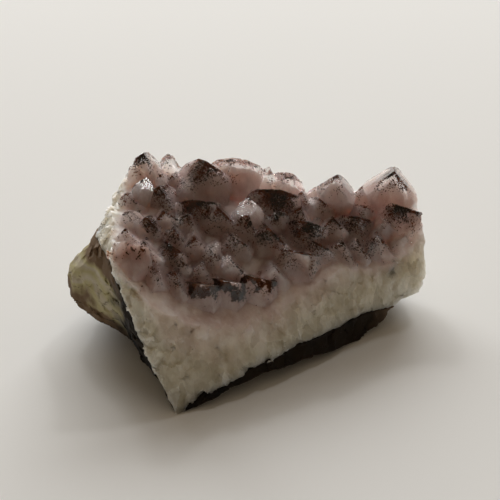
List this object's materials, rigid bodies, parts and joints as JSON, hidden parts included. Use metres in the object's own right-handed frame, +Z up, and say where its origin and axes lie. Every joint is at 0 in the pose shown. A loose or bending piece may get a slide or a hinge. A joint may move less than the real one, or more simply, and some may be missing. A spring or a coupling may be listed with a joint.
{
  "type": "amethyst crystal cluster",
  "caption": "Broken piece of amethyst geode wall: smoky lilac quartz points with dark inclusions on a milky quartz root and a banded agate rind.",
  "frame": {"origin": "middle of the specimen's box, at the level of the flat spot that it rests on", "axes": "+X along the specimen's length, from the tip of the rind's wing to the large crystal at the right; +Y to the back; +Z up, the way the crystals point"},
  "size_m": [0.07, 0.0494, 0.0315],
  "materials": {
    "amethyst": "gloss",
    "agate": "satin"
  },
  "bodies": {
    "root": {"quartz_druse": "amethyst", "agate_rind": "agate"}
  },
  "joints": []
}
